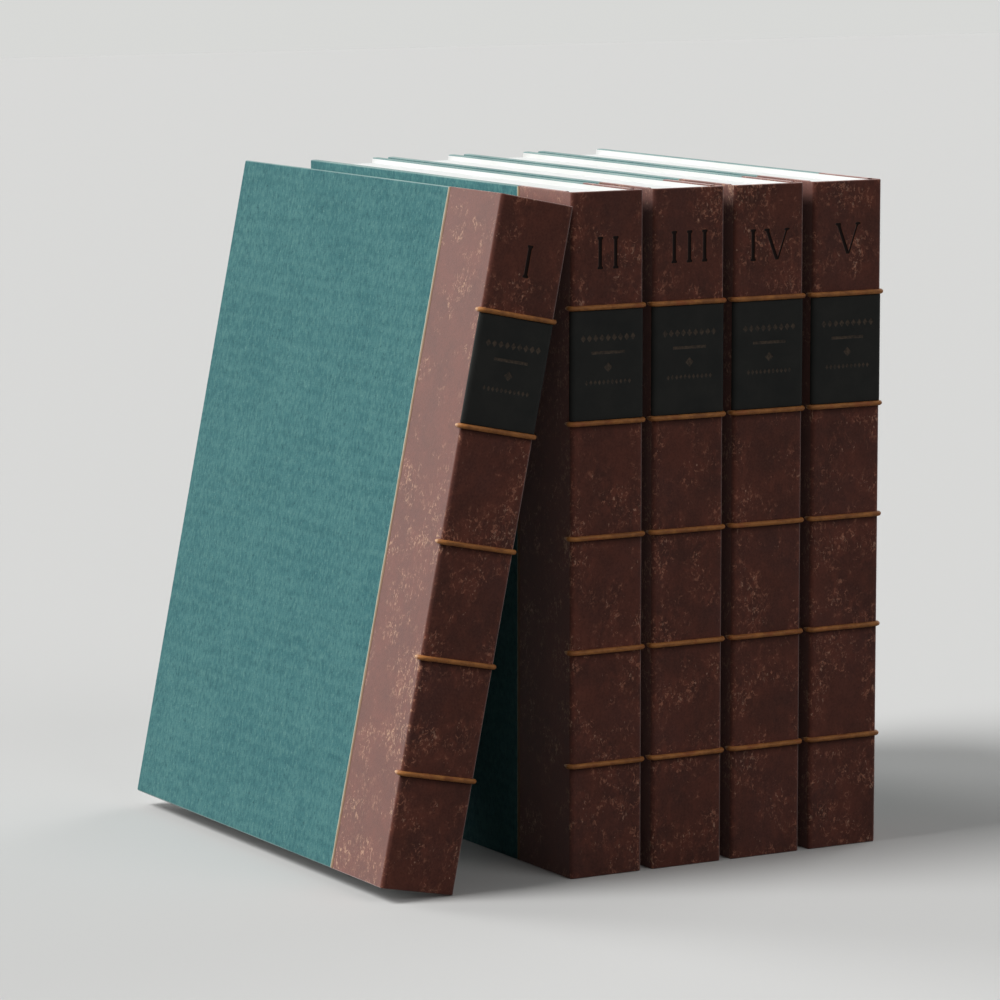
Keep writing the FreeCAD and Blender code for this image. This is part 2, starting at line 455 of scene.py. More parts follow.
def number_distance(volume, x, z):
    """Distance in metres from the strokes of a volume's number, negative inside them."""
    left = number_span(volume)[0]
    lift = number_lifts.get(volume, 0.0)
    distance = np.full(np.shape(x), far)
    for name in numbers[volume]:
        distance = np.minimum(distance, letter(name, left, x, z - lift))
        left += letter_width[name]
    return np.minimum(distance, far)


def steps(*stops):
    """Values from the first stop on. Each further stop is a value and the spacing up to it."""
    values = [np.array([stops[0]])]
    start = stops[0]
    for stop, spacing in stops[1:]:
        count = max(int(round(abs(stop - start) / spacing)), 1)
        values.append(np.linspace(start, stop, count + 1)[1:])
        start = stop
    return np.concatenate(values)


def side_stations(reach, end):
    """Stations on a side from the leather's edge to near the spine, close together at the fold."""
    return steps(reach, (fold + bend_after, side_step), (fold - bend_before, bend_step),
                 (end, corner_step))


def spine_stations(volume):
    """Stations across the spine face, close together under the number."""
    left, right = number_span(volume)
    return steps(spine_corner, (left, spine_step), (right, number_step),
                 (thickness - spine_corner, spine_step))


def corner_arc(start):
    """Directions from the middle of a rounded corner, over a quarter turn from the angle start."""
    angle = start + np.linspace(0, np.pi / 2, 7)[1:-1]
    return np.stack([np.cos(angle), np.sin(angle)], axis=-1)


def leather_path(volume, left, right):
    """The way round the back in plan: outer points, inner points and wall thickness. The outer
    line has round corners, and the inner one has sharp ones. left and right are stations on the
    two sides, each from the leather's edge towards the spine. Without right, the way ends on
    the left side."""
    across = spine_stations(volume)
    centre = np.array([spine_corner, spine_corner])
    outer = []
    inner = []

    def side(stations, x, sign):
        """Stations on the side at x, as thick as the cover there, or behind the fold two skins."""
        wall = np.where(stations > board_start - hair, cover, hinge_wall)
        outer.append(np.stack([np.full(len(stations), x), stations], axis=-1))
        inner.append(np.stack([x + sign * wall, np.maximum(stations, spine_wall)], axis=-1))

    side(left, 0.0, 1)
    if right is not None:
        arc = centre + spine_corner * corner_arc(np.pi)
        outer.append(arc)
        inner.append(np.tile([hinge_wall, spine_wall], (len(arc), 1)))
        outer.append(np.stack([across, np.zeros(len(across))], axis=-1))
        inner.append(np.stack([np.clip(across, hinge_wall, thickness - hinge_wall),
                               np.full(len(across), spine_wall)], axis=-1))
        arc = [thickness - spine_corner, spine_corner] + spine_corner * corner_arc(1.5 * np.pi)
        outer.append(arc)
        inner.append(np.tile([thickness - hinge_wall, spine_wall], (len(arc), 1)))
        side(right[::-1], thickness, -1)
    return np.concatenate(outer), np.concatenate(inner)


def wrap_profile(wall, turned, upright):
    """The way over a wrapped wall from its inner face at the tail to its inner face at the head:
    depth below the outer face, and height. wall and turned are arrays over the stations."""
    quarter = np.linspace(0, np.pi / 2, 5)[:, None]
    radius = np.minimum(edge_radius, wall / 2)
    ends = np.array([1.0, 0.5])[:, None]
    inner_face = radius + (turned - radius) * ends
    depths = [np.tile(wall, (2, 1)), wall - radius * (1 - np.cos(quarter)),
              radius * (1 - np.sin(quarter)), 0 * wall + 0 * upright[:, None],
              radius * (1 - np.cos(quarter)), wall - radius * (1 - np.sin(quarter)),
              np.tile(wall, (2, 1))]
    heights = [inner_face, radius * (1 - np.sin(quarter)), radius * (1 - np.cos(quarter)),
               upright[:, None] + 0 * wall, height - radius * (1 - np.sin(quarter)),
               height - radius * (1 - np.cos(quarter)), height - inner_face[::-1]]
    return np.concatenate(depths), np.concatenate(heights)


def waver(x, z, volume):
    """Slow unevenness of pasted leather, from three crossing waves between -1 and 1."""
    return (np.sin(x / (7.1 * mm) + 1.7 * volume) * np.sin(z / (11 * mm) + 2.3 * volume)
            + 0.5 * np.sin(z / (5.3 * mm) + x / (3.9 * mm) + volume)) / 1.5


def closed_shell(over, under):
    """Two grids of the same size, and the four strips that join their edges."""
    ends = [np.stack([over[end], under[end]]) for end in (0, -1)]
    edges = [np.stack([over[:, end], under[:, end]]) for end in (0, -1)]
    return [over, under] + ends + edges


def leather_shell(volume, left, right):
    """Leather of even thickness along the path: an outer grid, a grid one skin below it, and the
    strips that join their edges."""
    outer, inner = leather_path(volume, left, right)
    wall = np.where(outer[:, 1] > spine_corner, np.abs(inner[:, 0] - outer[:, 0]), spine_wall)
    turned = np.where(outer[:, 1] > board_start - hair, turn_in, spine_turn_in)
    low = edge_radius + 5 * hair
    rise = [(height - end_zone, flap_step)]
    if right is not None:
        number_top = number_base + number_height + max(number_lifts.values())
        rise = [(number_base - number_clearance, below_number_step),
                (number_top + number_clearance, number_step),
                (height - end_zone, above_number_step)]
    upright = steps(low, (end_zone, end_step), *rise, (height - low, end_step))
    below, z = wrap_profile(wall, turned, upright)
    press = number_depth * smooth(0.5 - number_distance(volume, outer[:, 0], z) / number_step / 2)
    from_corner = np.minimum(outer[:, 0], thickness - outer[:, 0]) - spine_corner
    sag = sag_depth * (1 + waver(outer[:, 0], z, volume)) * smooth(from_corner / sag_ease)
    face = (outer[:, 1] < touch) & (below < touch)
    sunk = np.where(face, below + press + sag, below)

    def lay(depths, heights):
        """Points at those depths on the way from the outer line to the inner one."""
        share = (depths / wall)[..., None]
        plan = outer + (inner - outer) * share
        return np.concatenate([plan, heights[..., None]], axis=-1)

    top = lay(sunk, z)
    bottom = lay(np.clip(below, skin, np.maximum(wall - skin, skin)),
                 np.clip(z, skin, height - skin))
    return closed_shell(top, bottom)


def number_mark(volume):
    """Attribute that holds the distance from the number's strokes on the spine face."""

    def mark(spots):
        """That distance near the spine's face, and the farthest one elsewhere."""
        distance = number_distance(volume, spots[:, 0], spots[:, 2])
        return np.where(spots[:, 1] < spine_corner / 2, distance, far)

    return mark


def brown_calf():
    """Brown calf: umber, red and plum clouds, with pale freckles, upright scratches and curls in
    clusters, most of them at its corners beside the bands, and at head and tail. As painted
    light, the sides are a little lighter and redder than the spine, and their curls paler. Painted
    shade lies on the spine in the crease below each band. The numbers are near black and faintly
    rust at the edge."""
    calf = Finish("brown_calf")
    x = calf.axis("X")
    to_side = calf.maths("MINIMUM", x, calf.maths("SUBTRACT", float(thickness), x))
    across = calf.maths("MULTIPLY", to_side, to_side)
    y = calf.axis("Y")
    to_corner = calf.maths("SQRT", calf.maths("MULTIPLY_ADD", y, y, across))
    z = calf.axis("Z")
    to_end = calf.maths("MINIMUM", z, calf.maths("SUBTRACT", float(height), z))
    beside_band = calf.ramp(calf.maths("PINGPONG", z, float(band_pitch / 2)), 0, 9 * mm, 1, 0.4)
    rubbed = calf.maths("MAXIMUM", calf.ramp(to_end, 0.2 * mm, 4 * mm, 0.5, 0), calf.maths(
        "MULTIPLY", beside_band, calf.ramp(to_corner, 0.4 * mm, 7 * mm, 1, 0)))

    clouds = calf.noise(16 * mm, 4.0, 0.6, seed=1.0)
    plum = calf.noise(34 * mm, 3.0, 0.55, seed=4.0)
    colour = calf.mix(calf.ramp(clouds, 0.38, 0.62), srgb(84, 51, 44), srgb(103, 59, 49))
    colour = calf.mix(calf.ramp(plum, 0.48, 0.66, 0, 0.5), colour, srgb(90, 58, 54))
    on_side = calf.ramp(y, 0.5 * mm, 1.5 * mm)
    # Painted light: the sides are painted a quarter of the way to a lighter red, so they look lit
    # beside the darker spine.
    colour = calf.mix(calf.maths("MULTIPLY", on_side, 0.25), colour, srgb(140, 79, 60))
    grain = calf.noise(0.8 * mm, 4.0, 0.65, seed=9.0)
    colour = calf.mix(calf.ramp(grain, 0.5, 0.72, 0, 0.45), colour, srgb(60, 35, 30))
    colour = calf.mix(calf.ramp(grain, 0.5, 0.3, 0, 0.3), colour, srgb(116, 74, 63))

    cluster = calf.noise(15 * mm, 4.0, 0.7, seed=12.0)
    cluster = calf.maths("MULTIPLY_ADD", rubbed, 0.08, cluster)
    patch = calf.noise(3.4 * mm, 5.0, 0.7, (1, 1, 1.5), 15.0)
    patch = calf.maths("MULTIPLY", calf.ramp(patch, 0.46, 0.62),
                       calf.ramp(cluster, 0.44, 0.6, 0.15, 0.65))
    patch = calf.maths("MULTIPLY", patch, calf.ramp(on_side, 0, 1, 1, 0.6))
    colour = calf.mix(patch, colour, srgb(130, 74, 60))

    curl = calf.noise(3.2 * mm, 3.0, 0.55, (1, 1, 1.4), 21.0, 0.9)
    curl = calf.ramp(calf.maths("ABSOLUTE", calf.maths("SUBTRACT", curl, 0.5)), 0.015, 0.04, 1, 0)
    broken = calf.noise(1.6 * mm, 2.0, 0.6, seed=24.0)
    curl = calf.maths("MULTIPLY", curl, calf.ramp(broken, 0.46, 0.6))
    curl = calf.maths("MULTIPLY", curl, calf.ramp(cluster, 0.48, 0.6, 0, 0.65))
    # Painted light: curls are painted paler and creamier on the sides than on the spine, as they
    # look where lit.
    curled = calf.mix(on_side, srgb(196, 132, 106), srgb(206, 162, 130))
    colour = calf.mix(curl, colour, curled)

    freckle = calf.noise(1.2 * mm, 4.0, 0.65, (1, 1, 1.7), 18.0)
    level = calf.ramp(cluster, 0.42, 0.66, 0.7, 0.56)
    freckle = calf.ramp(calf.maths("SUBTRACT", freckle, level), 0.0, 0.08)
    scratch = calf.noise(0.75 * mm, 3.0, 0.6, (1, 1, 5.5), 30.0, 0.3)
    level = calf.ramp(cluster, 0.48, 0.68, 0.72, 0.53)
    scratch = calf.maths("MULTIPLY", calf.ramp(on_side, 0, 1, 0.15, 1),
                         calf.ramp(calf.maths("SUBTRACT", scratch, level), 0.0, 0.1))
    pale = calf.maths("MAXIMUM", freckle, scratch)
    scuffed = calf.mix(on_side, srgb(216, 168, 142), srgb(210, 172, 140))
    colour = calf.mix(calf.maths("MULTIPLY", pale, calf.ramp(on_side, 0, 1, 0.62, 0.66)), colour,
                      scuffed)

    # Painted shade: on the spine, a dark streak just under each band stands for the shadow in the
    # crease below it.
    below_band = calf.maths("MODULO", z, float(band_pitch))
    band_shade = calf.ramp(below_band, float(band_pitch - band_shade_start),
                      float(band_pitch - band_shade_end), 0, 0.7)
    band_shade = calf.maths("MULTIPLY", band_shade, calf.ramp(to_end, 3 * mm, 5 * mm))
    band_shade = calf.maths("MULTIPLY", band_shade, calf.ramp(on_side, 0, 1, 1, 0))
    colour = calf.mix(band_shade, colour, srgb(36, 16, 9))

    stroke = calf.mark("stroke", "Fac")
    rim = calf.maths("MULTIPLY", calf.ramp(stroke, 0.12 * mm, 0.3 * mm, 1, 0),
                     calf.ramp(broken, 0.35, 0.6, 0.2, 0.8))
    colour = calf.mix(rim, colour, srgb(128, 72, 46))
    inked = calf.ramp(stroke, 0.05 * mm, 0.17 * mm, 1, 0)
    colour = calf.mix(inked, colour, srgb(18, 6, 3))

    rough = calf.ramp(pale, 0, 1, 0.46, 0.7)
    pores = calf.noise(0.45 * mm, 3.0, 0.6, seed=27.0)
    normal = calf.relief(pores, 0.05 * mm)
    normal = calf.relief(calf.maths("SUBTRACT", 1.0, pale), 0.03 * mm, normal)
    return calf.done(colour, rough, normal, Specular_IOR_Level=0.035, Sheen_Weight=1.0,
                     Sheen_Roughness=0.42, Sheen_Tint=srgb(255, 234, 230))


calf = brown_calf()
free_side = {1: "back", 5: "front"}
for volume in volumes:
    node = f"book_{volume}_leather"
    ends = {}
    for side in ("back", "front"):
        opens = free_side.get(volume) == side
        ends[side] = np.array([split]) if opens else side_stations(leather_reach, split)
    back = bind(f"leather_back_{volume}", volume,
                leather_shell(volume, np.append(ends["back"], spine_corner),
                              np.append(ends["front"], spine_corner)),
                calf, [node], {"stroke": number_mark(volume)})
    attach(back, "row")

# The leather over the two free folds
# On volume 1's back cover and volume 5's front cover the same leather runs on across the fold
# where the cover opens. It bends there, so it is made apart from the back.

bend_reach = 1.0 * mm


def bend(piece, volume, before, after):
    """Bakes the piece's place into its points. The reach before and after the fold is not used."""
    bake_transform(piece)


def on_cover(side, grids):
    """A shape made for the back cover, or the same on the front, with x counted from there."""
    if side == "back":
        return grids
    return [np.concatenate([thickness - grid[..., :1], grid[..., 1:]], axis=-1) for grid in grids]


for volume, side in free_side.items():
    shell = on_cover(side, leather_shell(volume, side_stations(leather_reach, split), None))
    flap = bind(f"leather_fold_{volume}", volume, shell, calf,
                [f"book_{volume}_{side}_leather"],
                {"stroke": lambda spots: np.full(len(spots), far)})
    bend(flap, volume, bend_reach, bend_reach)

# The cloth sides
# Teal book cloth, a plain weave with thick and thin threads, pasted on both boards behind the
# leather and turned in over the head, the tail and the fore edge.

board_corner = 1.2 * mm
cloth_edge = 0.55 * mm
thread_relief = 0.02 * mm
wave_drift = 9 * mm
wave_pitch = 6.2 * mm


def teal_cloth():
    """Teal cloth: upright slubs as pale and dark streaks, broken lines and waves across, soft
    clouds, pale wear along head and tail, and the relief of the weave."""
    cloth = Finish("teal_cloth")
    clouds = cloth.noise(16 * mm, 4.0, 0.6, (1, 1, 1.6), 1.0)
    colour = cloth.mix(cloth.ramp(clouds, 0.38, 0.62), srgb(60, 110, 113), srgb(70, 119, 120))
    rows = cloth.noise(5 * mm, 3.0, 0.6, (1, 9, 0.7), 3.0)
    colour = cloth.mix(cloth.ramp(rows, 0.48, 0.7, 0, 0.5), colour, srgb(52, 101, 104))
    z = cloth.axis("Z")
    wavy = cloth.maths("MULTIPLY_ADD", clouds, wave_drift, z)
    wave = cloth.maths("SINE", cloth.maths("MULTIPLY", wavy, 2 * np.pi / wave_pitch))
    wave = cloth.maths("MULTIPLY", cloth.ramp(wave, -0.2, 1, 0, 0.4),
                       cloth.ramp(rows, 0.3, 0.6))
    colour = cloth.mix(wave, colour, srgb(82, 130, 129))
    streak = cloth.noise(1.4 * mm, 4.0, 0.62, (1, 1, 1.9), 6.0)
    colour = cloth.mix(cloth.ramp(streak, 0.5, 0.68, 0, 0.6), colour, srgb(88, 134, 130))
    colour = cloth.mix(cloth.ramp(streak, 0.5, 0.32, 0, 0.7), colour, srgb(45, 90, 95))
    speck = cloth.noise(0.8 * mm, 3.0, 0.6, (1, 1, 1.6), 9.0)
    colour = cloth.mix(cloth.ramp(speck, 0.59, 0.68, 0, 0.7), colour, srgb(34, 72, 78))
    colour = cloth.mix(cloth.ramp(speck, 0.4, 0.32, 0, 0.5), colour, srgb(108, 150, 146))
    to_end = cloth.maths("MINIMUM", z, cloth.maths("SUBTRACT", float(height), z))
    rubbed = cloth.maths("MULTIPLY", cloth.ramp(to_end, 0.1 * mm, 0.6 * mm, 0.75, 0),
                         cloth.ramp(rows, 0.3, 0.6, 1, 0.5))
    colour = cloth.mix(rubbed, colour, srgb(186, 204, 198))
    weft = cloth.noise(0.35 * mm, 2.0, 0.5, (1, 6, 1), 12.0)
    weave = cloth.maths("ADD", streak, weft)
    normal = cloth.relief(weave, 0.09 * mm)
    return cloth.done(colour, 0.85, normal, Specular_IOR_Level=0.08, Sheen_Weight=0.04,
                      Sheen_Roughness=0.5)


def cloth_slab(volume, side):
    """A covered board behind the leather. Its section across, a rectangle with rounded edges, is
    carried back to the fore edge, where it draws in to round that edge and the two corners."""
    rng = np.random.default_rng(10 * volume + (side == "front"))
    last = depth - cloth_edge
    y = steps(leather_reach, (last - 2 * mm, 2.4 * mm), (last, 0.7 * mm))
    turn = np.linspace(0, np.pi / 2, 6)[1:]
    y = np.concatenate([y, last + cloth_edge * np.sin(turn)])
    draw = np.concatenate([np.zeros(len(y) - len(turn)), cloth_edge * (1 - np.cos(turn))])
    past = np.clip(y - (depth - board_corner), 0, board_corner)
    lowered = np.maximum(board_corner - np.sqrt(board_corner**2 - past**2), draw)
    outside = steps(cloth_edge, (height - cloth_edge, 2.2 * mm))
    inside = steps(height - cloth_edge, (cloth_edge, 9 * mm))
    quarter = np.linspace(0, np.pi / 2, 6)[1:-1]
    rim = cloth_edge
    x = [0 * outside, rim * (1 - np.cos(quarter)), cover - rim * (1 - np.sin(quarter)),
         0 * inside + cover, cover - rim * (1 - np.cos(quarter)), rim * (1 - np.sin(quarter))]
    z = [outside, height - rim * (1 - np.sin(quarter)), height - rim * (1 - np.cos(quarter)),
         inside, rim * (1 - np.sin(quarter)), rim * (1 - np.cos(quarter))]
    x = np.append(np.concatenate(x), 0.0)
    z = np.append(np.concatenate(z), cloth_edge)
    uneven = thread_relief * rng.random((len(y), len(outside)))
    uneven[:, [0, -1]] = 0
    uneven[[0, -1]] = 0
    grid = np.zeros((len(y), len(x), 3))
    grid[..., 0] = x
    grid[:, :len(outside), 0] += uneven
    grid[..., 0] = np.clip(grid[..., 0], draw[:, None], cover - draw[:, None])
    grid[..., 1] = y[:, None]
    grid[..., 2] = np.clip(z, lowered[:, None], height - lowered[:, None])
    caps = []
    for end in (0, -1):
        cap = np.stack([grid[end, :len(outside)]] * 2)
        cap[1, :, 0] = cover - draw[end]
        caps.append(cap)
    return [grid] + caps


cloth = teal_cloth()
for volume in volumes:
    for side in ("back", "front"):
        grids = on_cover(side, cloth_slab(volume, side))
        panel = bind(f"cloth_{side}_{volume}", volume, grids, cloth,
                     [f"book_{volume}_{side}_cloth"])
        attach(panel, f"cover_{volume}" if free_side.get(volume) == side else "row")

# The gilt lines
# A narrow strip of gilt leather over the seam between leather and cloth. Its edges wander a
# little, and the edge next to the cloth is worn pale.

gilt_width = 1.5 * mm
gilt_rise = 0.12 * mm
gilt_wander = 0.17 * mm
gilt_overlap = 0.35 * mm
gilt_margin = 0.3 * mm
gilt_stations = 170


def old_gilt():
    """Tan gilt leather, pale along the cloth and browned in spots."""
    gilt = Finish("old_gilt")
    spots = gilt.noise(1.8 * mm, 4.0, 0.6, (1, 1, 2.4), 2.0)
    worn = gilt.mark("worn", "Fac")
    worn = gilt.maths("ADD", worn, gilt.maths("MULTIPLY_ADD", spots, 0.9, -0.45))
    colour = gilt.mix(gilt.ramp(worn, 0.1, 0.5), srgb(126, 95, 70), srgb(140, 112, 82))
    colour = gilt.mix(gilt.ramp(worn, 0.7, 0.9), colour, srgb(164, 162, 144))
    colour = gilt.mix(gilt.ramp(spots, 0.55, 0.68, 0, 0.5), colour, srgb(120, 86, 62))
    return gilt.done(colour, 0.55, gilt.relief(spots, 0.05 * mm), Specular_IOR_Level=0.12)


def gilt_strip(volume, side):
    """A shallow arch across the strip, carried from tail to head. Both edges wander by sums of
    waves of different lengths."""
    z = np.linspace(gilt_margin, height - gilt_margin, gilt_stations)
    phase = 3.1 * volume + (side == "front")

    def wander(shift):
        """How far an edge strays at each height: three sines of z, each with its own phase."""
        return gilt_wander * (0.6 * np.sin(z / (1.9 * mm) + phase + shift)
                              + 0.4 * np.sin(z / (0.83 * mm) + 2 * phase - shift)
                              + 0.5 * np.sin(z / (6.7 * mm) + shift))

    near_edge = leather_reach - gilt_width + wander(1.0)
    far_edge = leather_reach + gilt_overlap + 0.6 * wander(4.0)
    angle = np.linspace(0, np.pi, 9)
    share = (1 - np.cos(angle)) / 2
    rise = gilt_rise * np.sin(angle) ** 0.5
    y = near_edge[:, None] + (far_edge - near_edge)[:, None] * share
    over = np.stack([-rise + 0 * y, y, z[:, None] + 0 * y], axis=-1)
    under = over.copy()
    under[..., 0] = gilt_rise / 4
    return closed_shell(over, under)


def worn_mark(spots):
    """From 0 at the leather to 1 at the cloth."""
    return (spots[:, 1] - leather_reach + gilt_width) / gilt_width


gilt = old_gilt()
for volume in volumes:
    for side in ("back", "front"):
        grids = on_cover(side, gilt_strip(volume, side))
        alone = f"book_{volume}_{side}_gilt_line"
        node = alone if alone in frame["nodes"] else f"book_{volume}_gilt_lines"
        line = bind(f"gilt_line_{side}_{volume}", volume, grids, gilt, [node],
                    {"worn": worn_mark})
        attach(line, f"cover_{volume}" if free_side.get(volume) == side else "row")

# The raised bands
# Five cords cross each spine under gilt leather. They stand up with a round crown, follow both
# corners and run out to a point on the sides.

band_rise = -(corners("book_2_raised_bands")[0][1] - stand[2][1])
band_half = 0.9 * mm
band_tip = corners("book_2_raised_bands")[1][1] - stand[2][1]
band_bedding = 0.06 * mm
band_unevenness = 0.05
band_taper = 0.5
band_tip_share = 0.02
band_side_stations = 14
band_spine_stations = 36
crown_stations = 13


def gilt_cord():
    """Copper brown gilt leather, mottled lighter and redder, with a painted highlight that pales it
    towards both tips.
    """
    cord = Finish("gilt_cord")
    mottle = cord.noise(2.6 * mm, 4.0, 0.65, (1.8, 1, 1), 2.0)
    colour = cord.mix(cord.ramp(mottle, 0.38, 0.6), srgb(138, 86, 44), srgb(180, 118, 62))
    rust = cord.noise(4.5 * mm, 3.0, 0.6, (1.6, 1, 1), 5.0)
    colour = cord.mix(cord.ramp(rust, 0.54, 0.66, 0, 0.7), colour, srgb(150, 78, 42))
    # Painted highlight: the cords are painted paler out on the sides towards their tips, as if lit
    # from the side.
    painted_tip_light = cord.ramp(cord.axis("Y"), 0.6 * mm, 2.2 * mm, 0, 0.75)
    colour = cord.mix(painted_tip_light, colour, srgb(204, 164, 122))
    fine = cord.noise(0.5 * mm, 3.0, 0.6, (3, 1, 1), 8.0)
    colour = cord.mix(cord.ramp(fine, 0.55, 0.75, 0, 0.5), colour, srgb(84, 48, 26))
    return cord.done(colour, 0.5, cord.relief(fine, 0.08 * mm), Specular_IOR_Level=0.25)


def band(volume, number):
    """A section with straight flanks and a round crown, carried along the spine in plan: up one
    side, round the corners and down the other. It is full on the spine and shrinks to a point
    on each side, by a power of the way to the tip."""
    taper = np.linspace(band_tip_share, 1, band_side_stations)[:-1]
    side_y = band_tip - (band_tip - spine_corner) * taper
    quarter = corner_arc(np.pi)
    across = np.linspace(spine_corner, thickness - spine_corner, band_spine_stations)
    path = np.concatenate([
        np.stack([0 * side_y, side_y], axis=-1), spine_corner + spine_corner * quarter,
        np.stack([across, 0 * across], axis=-1),
        [thickness - spine_corner, spine_corner] + spine_corner * corner_arc(1.5 * np.pi),
        np.stack([0 * side_y + thickness, side_y[::-1]], axis=-1)])
    way = np.concatenate([
        np.tile([-1.0, 0.0], (len(side_y), 1)), quarter, np.tile([0.0, -1.0], (len(across), 1)),
        corner_arc(1.5 * np.pi), np.tile([1.0, 0.0], (len(side_y), 1))])
    full = np.ones(len(path))
    full[:len(side_y)] = taper**band_taper
    full[-len(side_y):] = full[:len(side_y)][::-1]
    along = np.linspace(0, 1, len(path))
    phase = 1.9 * volume + 2.7 * number
    full = full * (1 - band_unevenness / 2 + band_unevenness / 2
                   * np.sin(23 * along + phase) * np.sin(41 * along + 2 * phase))
    angle = np.linspace(-np.pi / 2, np.pi / 2, crown_stations)
    crown = band_rise - band_half + band_half * np.cos(angle)
    out = full[:, None] * np.concatenate([[0.0], crown, [0.0]])
    rise = full[:, None] * band_half * np.concatenate([[-1.0], np.sin(angle), [1.0]])
    plan = path[:, None] + way[:, None] * out[..., None]
    heights = (number * band_pitch + rise)[..., None]
    bed = path[:, None] - way[:, None] * band_bedding + 0 * plan
    return closed_shell(np.concatenate([plan, heights], axis=-1),
                        np.concatenate([bed, heights], axis=-1))


cord = gilt_cord()
for volume in volumes:
    grids = [grid for number in range(1, band_count + 1) for grid in band(volume, number)]
    bands = bind(f"bands_{volume}", volume, grids, cord,
                 [f"book_{volume}_raised_bands"], crease=50)
    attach(bands, "row")

# The title labels
# Thin black leather between the two upper bands, pared at its edges and pasted round both
# corners of the spine. In place of a title it bears rows of lozenges and a rule.

label_low, label_high = [corner - stand[2] for corner in corners("book_2_title_label")]
label_rise = -label_low[1]
label_edge = 0.22 * mm
mark_depth = 0.12 * mm
mark_pitch = 5.35 * mm
mark_lift = 1.8 * mm
upper_count = 9
upper_lozenge = 2.6 * mm
lower_count = 11
lower_lozenge = 1.8 * mm
middle_lozenge = 3.4 * mm
lozenge_spacing = 0.6 * mm
rule_width = 14 * mm
rule_height = 1.0 * mm
mark_step = 0.2 * mm
plain_step = 1.5 * mm


def lozenge(x, z, width, rise):
    """Four corners about the middle (x, z), anticlockwise from the left."""
    return [(x - width / 2, z), (x, z - rise / 2), (x + width / 2, z), (x, z + rise / 2)]


def lozenge_row(x, z, count, size):
    """Row of upright lozenges about x, one size high, a little less wide and a size apart."""
    first = x - (count - 1) * size / 2
    return [lozenge(first + k * size, z, size - lozenge_spacing, size) for k in range(count)]


def design_distance(x, z):
    """Distance from the lozenges and the rule, negative inside them."""
    middle = thickness / 2
    centre = (label_low[2] + label_high[2]) / 2 + mark_lift
    marks = lozenge_row(middle, centre + 1.5 * mark_pitch, upper_count, upper_lozenge)
    marks.append(bar(middle, centre + 0.5 * mark_pitch - rule_height / 2, rule_width, rule_height))
    marks.append(lozenge(middle, centre - 0.5 * mark_pitch, middle_lozenge, middle_lozenge))
    marks += lozenge_row(middle, centre - 1.5 * mark_pitch, lower_count, lower_lozenge)
    return np.minimum(np.min([beyond(mark, x, z) for mark in marks], axis=0), far)


def black_label():
    """Matt black leather with a fine grain and worn, brownish tooling."""
    label = Finish("black_label")
    clouds = label.noise(12 * mm, 4.0, 0.6, seed=2.0)
    colour = label.mix(label.ramp(clouds, 0.35, 0.65), srgb(34, 35, 34), srgb(43, 43, 41))
    stroke = label.mark("stroke", "Fac")
    rubbed = label.noise(1.1 * mm, 3.0, 0.65, seed=5.0)
    tooled = label.maths("MULTIPLY", label.ramp(stroke, -0.05 * mm, 0.12 * mm, 1, 0),
                         label.ramp(rubbed, 0.38, 0.62, 0.15, 0.8))
    colour = label.mix(tooled, colour, srgb(96, 82, 70))
    pores = label.noise(0.4 * mm, 2.0, 0.6, seed=8.0)
    return label.done(colour, 0.62, label.relief(pores, 0.05 * mm), Specular_IOR_Level=0.1)


def label_sheet():
    """A thin sheet along the outside of the spine's corners and face. Its edges above and below
    are pared to a round, and the design is pressed into its face."""
    corner = spine_corner + label_rise
    across = steps(spine_corner, (thickness - spine_corner, mark_step))
    middle = [spine_corner, spine_corner]
    path = np.concatenate([
        [[-label_rise, spine_corner]], middle + corner * corner_arc(np.pi),
        np.stack([across, 0 * across - label_rise], axis=-1),
        [thickness - spine_corner, spine_corner] + corner * corner_arc(1.5 * np.pi),
        [[thickness + label_rise, spine_corner]]])
    way = np.concatenate([
        [[-1.0, 0.0]], corner_arc(np.pi), np.tile([0.0, -1.0], (len(across), 1)),
        corner_arc(1.5 * np.pi), [[1.0, 0.0]]])
    z0, z1 = label_low[2], label_high[2]
    turn = np.linspace(0, np.pi / 2, 5)[:-1]
    reach = 1.5 * mark_pitch + upper_lozenge
    centre = (z0 + z1) / 2 + mark_lift
    flat = steps(z0 + label_edge, (centre - reach, plain_step), (centre + reach, mark_step),
                 (z1 - label_edge, plain_step))
    z = np.concatenate([z0 + label_edge * (1 - np.cos(turn)), flat,
                        (z1 - label_edge * (1 - np.cos(turn)))[::-1]])
    down = np.concatenate([label_rise * (1 - np.sin(turn)), 0 * flat,
                           (label_rise * (1 - np.sin(turn)))[::-1]])
    press = mark_depth * smooth(0.5 - design_distance(path[:, :1], z) / (2 * mark_step))
    press = press * (path[:, 1:] < 0)
    sunk = down + press
    plan = path[:, None] - way[:, None] * sunk[..., None]
    heights = np.broadcast_to(z, sunk.shape)[..., None]
    over = np.concatenate([plan, heights], axis=-1)
    bed = path[:, None] - way[:, None] * label_rise + 0 * plan
    under = np.concatenate([bed, heights], axis=-1)
    strips = [np.stack([over[end], under[end]]) for end in (0, -1)]
    return [over, under] + strips


label = black_label()
for volume in volumes:
    title = bind(f"title_label_{volume}", volume, label_sheet(), label,
                 [f"book_{volume}_title_label"],
                 {"stroke": lambda spots: design_distance(spots[:, 0], spots[:, 2])})
    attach(title, "row")

# The linings
# White paper pasted inside each cover over the turned-in margins. On the two covers that open,
# the sheet is one with the first leaf, so it runs on across the joint into the block.

paper_margin = 0.35 * mm
lining_rise = 0.18 * mm
lining_ghost = 0.05 * mm
lining_root = fold - 0.7 * mm
lining_bend = 0.4 * mm, 1.6 * mm
fine_reach = 2.4 * mm
seam_zone = 1 * mm
ghost_zone = 2 * mm
ghost_ease = 1 * mm
ghost_step = 0.4 * mm


